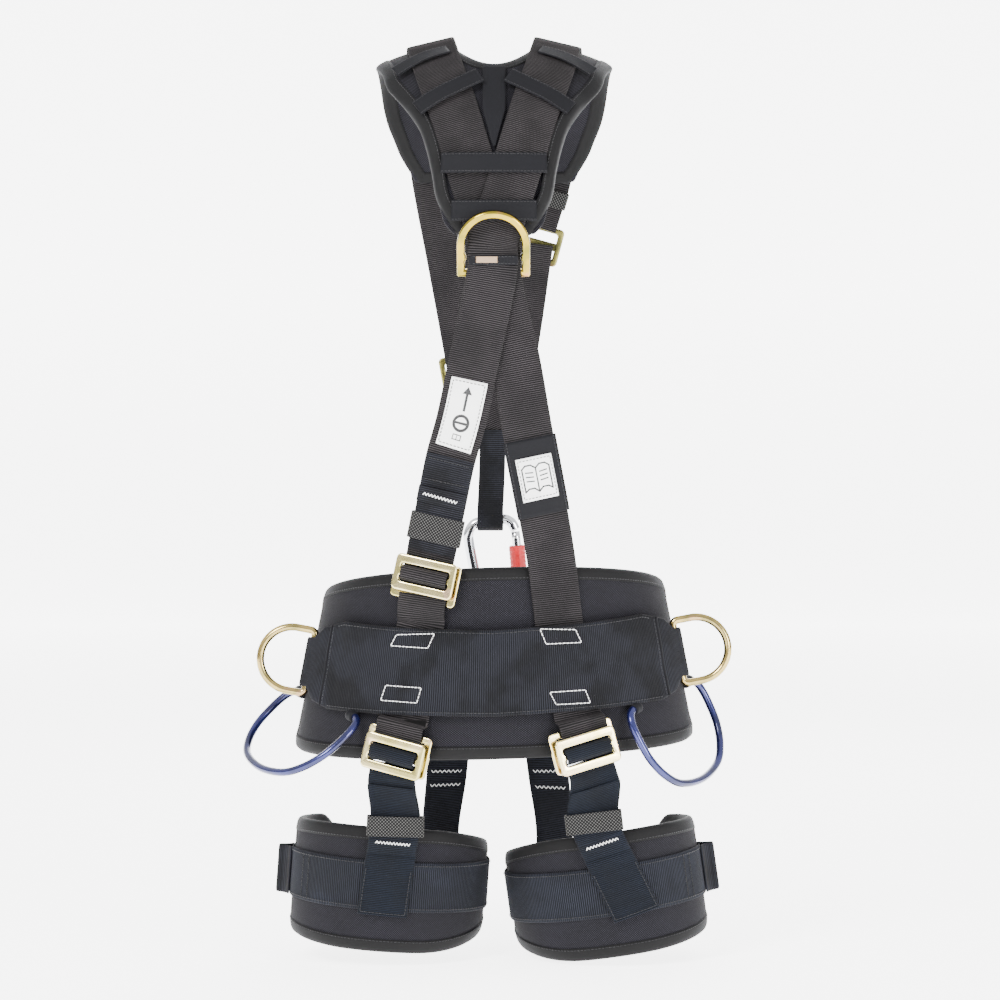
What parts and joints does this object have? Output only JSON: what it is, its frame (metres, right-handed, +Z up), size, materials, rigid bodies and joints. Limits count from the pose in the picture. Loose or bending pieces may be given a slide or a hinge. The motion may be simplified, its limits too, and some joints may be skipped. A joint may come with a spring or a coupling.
{
  "type": "tree climbing saddle",
  "caption": "Full-body climbing harness with padded yoke, positioning belt, leg loops, dorsal and side rings, gear rings and a front carabiner",
  "frame": {"origin": "centre of the wearer's waist at the middle of the belt's height", "axes": "wearer faces +Y, wearer's right is +X, +Z up"},
  "size_m": [0.4499, 0.2998, 0.8488],
  "materials": {
    "blue_alloy": "blue anodised",
    "bright_steel": "polished steel",
    "elastic": "patterned elastic",
    "gold_steel": "yellow zinc plated steel",
    "label": "white sewn label",
    "pad": "padded mesh fabric",
    "pale_steel": "pale zinc plated steel",
    "red_plastic": "red moulded plastic",
    "smooth_band": "smooth woven tape",
    "webbing": "ribbed polyester webbing"
  },
  "bodies": {
    "harness": {"shoulder_strap_left": "webbing", "shoulder_strap_right": "webbing", "back_strap_lower": "webbing", "yoke_pad": "pad", "yoke_shoulder_band_left": "smooth_band", "yoke_chevron_left": "smooth_band", "yoke_shoulder_band_right": "smooth_band", "yoke_chevron_right": "smooth_band", "yoke_centre_band": "smooth_band", "yoke_upper_band": "smooth_band", "yoke_lower_band": "smooth_band", "dorsal_keeper": "smooth_band", "arrow_label": "label", "label_sleeve": "smooth_band", "info_label": "label", "back_strap_tail": "webbing", "back_buckle_frame": "pale_steel", "belt_pad": "pad", "belt_band": "webbing", "belt_strap_left": "webbing", "belt_strap_right": "webbing", "belt_buckle_frame": "pale_steel", "chest_strap_left": "webbing", "chest_strap_right": "webbing", "chest_adjuster_left": "gold_steel", "chest_adjuster_right": "gold_steel", "chest_loop": "webbing", "ventral_loop": "webbing", "leg_pad_left": "pad", "leg_band_left": "webbing", "leg_tab_left": "webbing", "leg_riser_left": "webbing", "leg_tail_left": "webbing", "leg_buckle_frame_left": "pale_steel", "front_riser_left": "webbing", "leg_pad_right": "pad", "leg_band_right": "webbing", "leg_tab_right": "webbing", "leg_riser_right": "webbing", "leg_tail_right": "webbing", "leg_buckle_frame_right": "pale_steel", "front_riser_right": "webbing"},
    "dorsal_ring": {"dorsal_d_ring": "gold_steel"},
    "side_ring_left": {"side_d_ring_left": "gold_steel"},
    "side_ring_right": {"side_d_ring_right": "gold_steel"},
    "gear_ring_left_body": {"gear_ring_left": "blue_alloy"},
    "gear_ring_right_body": {"gear_ring_right": "blue_alloy"},
    "back_buckle": {"back_buckle_plate": "pale_steel"},
    "leg_buckle_left": {"leg_buckle_plate_left": "pale_steel"},
    "leg_buckle_right": {"leg_buckle_plate_right": "pale_steel"},
    "belt_buckle": {"belt_buckle_plate": "pale_steel"},
    "adjuster_bar_left_body": {"adjuster_bar_left": "gold_steel"},
    "adjuster_bar_right_body": {"adjuster_bar_right": "gold_steel"},
    "back_keeper_body": {"back_keeper": "elastic"},
    "leg_keeper_left_body": {"leg_keeper_left": "elastic"},
    "leg_keeper_right_body": {"leg_keeper_right": "elastic"},
    "chest_keeper_body": {"chest_keeper": "elastic"},
    "carabiner": {"carabiner_body": "bright_steel"},
    "gate": {"carabiner_gate": "bright_steel"},
    "gate_sleeve": {"carabiner_sleeve": "red_plastic"}
  },
  "joints": [
    {"name": "dorsal_ring_tilt", "type": "hinge", "parent": "harness", "child": "dorsal_ring", "pos_m": [-0.00041, -0.13559, 0.34697], "axis": [1, -0.0013, 0], "range_deg": [0, 70]},
    {"name": "side_ring_left_swing", "type": "hinge", "parent": "harness", "child": "side_ring_left", "pos_m": [-0.16941, -0.04103, -0.00539], "axis": [0.1853, 0.0239, 0.9824], "range_deg": [-15, 80]},
    {"name": "side_ring_right_swing", "type": "hinge", "parent": "harness", "child": "side_ring_right", "pos_m": [0.16941, -0.04103, 0.00377], "axis": [-0.1872, 0.0241, 0.982], "range_deg": [-80, 15]},
    {"name": "gear_ring_left_lift", "type": "hinge", "parent": "harness", "child": "gear_ring_left_body", "pos_m": [-0.12308, -0.10288, -0.05295], "axis": [-0.5243, 0.8344, 0.1699], "range_deg": [-25, 8]},
    {"name": "gear_ring_right_lift", "type": "hinge", "parent": "harness", "child": "gear_ring_right_body", "pos_m": [0.12308, -0.10288, -0.04628], "axis": [-0.5217, -0.8302, -0.1966], "range_deg": [-8, 30]},
    {"name": "back_buckle_tilt", "type": "hinge", "parent": "harness", "child": "back_buckle", "pos_m": [-0.05914, -0.12235, 0.09137], "axis": [-0.9342, 0.2948, 0.201], "range_deg": [0, 35]},
    {"name": "leg_buckle_left_tilt", "type": "hinge", "parent": "harness", "child": "leg_buckle_left", "pos_m": [-0.08668, -0.12927, -0.06884], "axis": [-0.9149, 0.3355, 0.2243], "range_deg": [0, 35]},
    {"name": "leg_buckle_right_tilt", "type": "hinge", "parent": "harness", "child": "leg_buckle_right", "pos_m": [0.07982, -0.13111, -0.06436], "axis": [-0.9142, -0.3142, -0.2559], "range_deg": [0, 35]},
    {"name": "belt_buckle_tilt", "type": "hinge", "parent": "harness", "child": "belt_buckle", "pos_m": [0.08148, 0.12408, 0.00147], "axis": [-0.0647, -0.0816, 0.9946], "range_deg": [0, 35]},
    {"name": "adjuster_bar_left_slide", "type": "slide", "parent": "harness", "child": "adjuster_bar_left_body", "axis": [-0.1821, -0.039, 0.9825], "range_m": [-0.003, 0.003]},
    {"name": "adjuster_bar_right_slide", "type": "slide", "parent": "harness", "child": "adjuster_bar_right_body", "axis": [0.2559, -0.1415, 0.9563], "range_m": [-0.003, 0.003]},
    {"name": "back_keeper_slide", "type": "slide", "parent": "harness", "child": "back_keeper_body", "axis": [0.2026, -0.1036, 0.9738], "range_m": [0, 0.005]},
    {"name": "leg_keeper_left_slide", "type": "slide", "parent": "harness", "child": "leg_keeper_left_body", "axis": [0.0337, -0.0393, 0.9987], "range_m": [0, 0.005]},
    {"name": "leg_keeper_right_slide", "type": "slide", "parent": "harness", "child": "leg_keeper_right_body", "axis": [-0.1184, 0.0183, 0.9928], "range_m": [0, 0.005]},
    {"name": "chest_keeper_slide", "type": "slide", "parent": "harness", "child": "chest_keeper_body", "axis": [0.2833, -0.2032, 0.9373], "range_m": [-0.008, 0]},
    {"name": "carabiner_twist", "type": "hinge", "parent": "harness", "child": "carabiner", "pos_m": [-0.004, 0.1155, 0.1245], "axis": [0.1422, 0.0965, -0.9851], "range_deg": [-5, 5]},
    {"name": "gate_open", "type": "hinge", "parent": "carabiner", "child": "gate", "pos_m": [0.02619, 0.1231, 0.04691], "axis": [0, -0.9952, -0.0975], "range_deg": [0, 20], "stiffness_Nm_per_rad": 0.05, "springref_deg": -17.19},
    {"name": "gate_sleeve_slide", "type": "slide", "parent": "gate", "child": "gate_sleeve", "axis": [0.0861, 0.0971, -0.9915], "range_m": [0, 0.008]}
  ]
}
